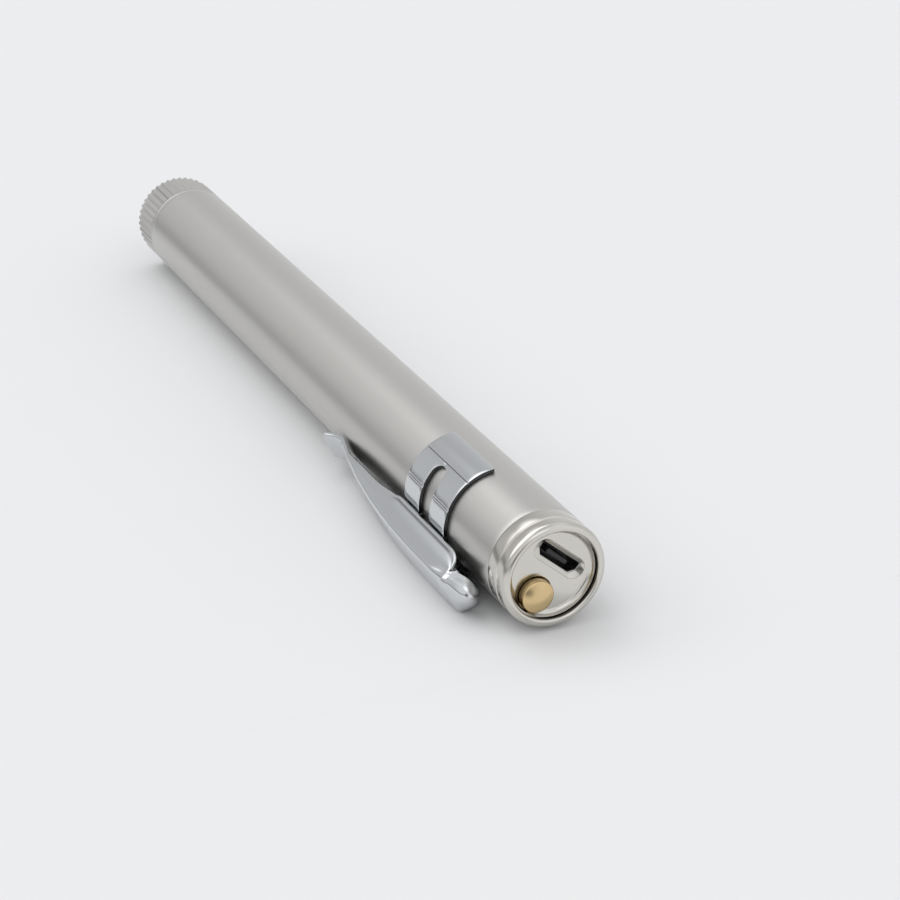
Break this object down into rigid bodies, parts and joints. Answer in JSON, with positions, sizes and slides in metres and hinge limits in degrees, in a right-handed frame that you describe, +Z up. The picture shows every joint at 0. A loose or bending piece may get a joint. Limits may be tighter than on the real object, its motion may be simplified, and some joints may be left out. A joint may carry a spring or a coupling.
{
  "type": "rechargeable penlight",
  "caption": "Slim steel penlight with a fluted screw-on head, a sprung pocket clip and a recessed tail holding a USB charging port beside a push button.",
  "frame": {"origin": "middle of the bottom of the whole object's box, on the surface it lies on", "axes": "+Y along the barrel from the tail to the head, +Z up from the surface, +X away from the clip"},
  "size_m": [0.0196, 0.15, 0.0162],
  "materials": {
    "satin_steel": "satin, turned",
    "polished_steel": "polished",
    "clip_chrome": "bright",
    "spring_steel": "plain",
    "button_brass": "satin",
    "black_plastic": "moulded",
    "white_plastic": "moulded",
    "grey_foam": "foam",
    "board_green": "solder mask",
    "cell_wrap": "shrink-wrapped cell",
    "lead_red": "insulated wire",
    "lead_black": "insulated wire",
    "emitter_yellow": "clear over phosphor",
    "reflector_mirror": "vacuum-plated",
    "lens_glass": "clear",
    "seal_rubber": "plain"
  },
  "bodies": {
    "light": {"barrel_tube": "satin_steel", "tail_cap": "polished_steel", "clip_band": "clip_chrome", "clip_pin": "clip_chrome", "clip_spring": "spring_steel", "switch_body": "black_plastic", "usb_shell": "spring_steel", "usb_insulator": "black_plastic", "control_board": "board_green", "charge_chip": "black_plastic", "battery_cell": "cell_wrap", "cell_sleeve": "white_plastic", "cell_spacer": "grey_foam", "battery_lead_plus": "lead_red", "battery_lead_minus": "lead_black", "led_lead_plus": "lead_red", "led_lead_minus": "lead_black", "led_pill": "button_brass", "led_board": "white_plastic", "led_emitter": "emitter_yellow", "reflector": "reflector_mirror"},
    "button": {"button_cap": "button_brass", "switch_plunger": "white_plastic"},
    "head": {"head_bezel": "satin_steel", "front_lens": "lens_glass", "lens_seal": "seal_rubber"},
    "lever": {"clip_lever": "clip_chrome"}
  },
  "joints": [
    {"name": "button_press", "type": "slide", "parent": "light", "child": "button", "axis": [0, 1, 0], "range_m": [0, 0.0005], "stiffness_N_per_m": 1500, "springref_m": -0.0005},
    {"name": "head_turn", "type": "hinge", "parent": "light", "child": "head", "pos_m": [0.00225, 0.067, 0.0081], "axis": [0, 1, 0], "range_deg": [0, 360]},
    {"name": "clip_open", "type": "hinge", "parent": "light", "child": "lever", "pos_m": [-0.0064, -0.0563, 0.00373], "axis": [-0.451, 0, 0.8925], "range_deg": [0, 4], "stiffness_Nm_per_rad": 0.4, "springref_deg": -8.59}
  ]
}
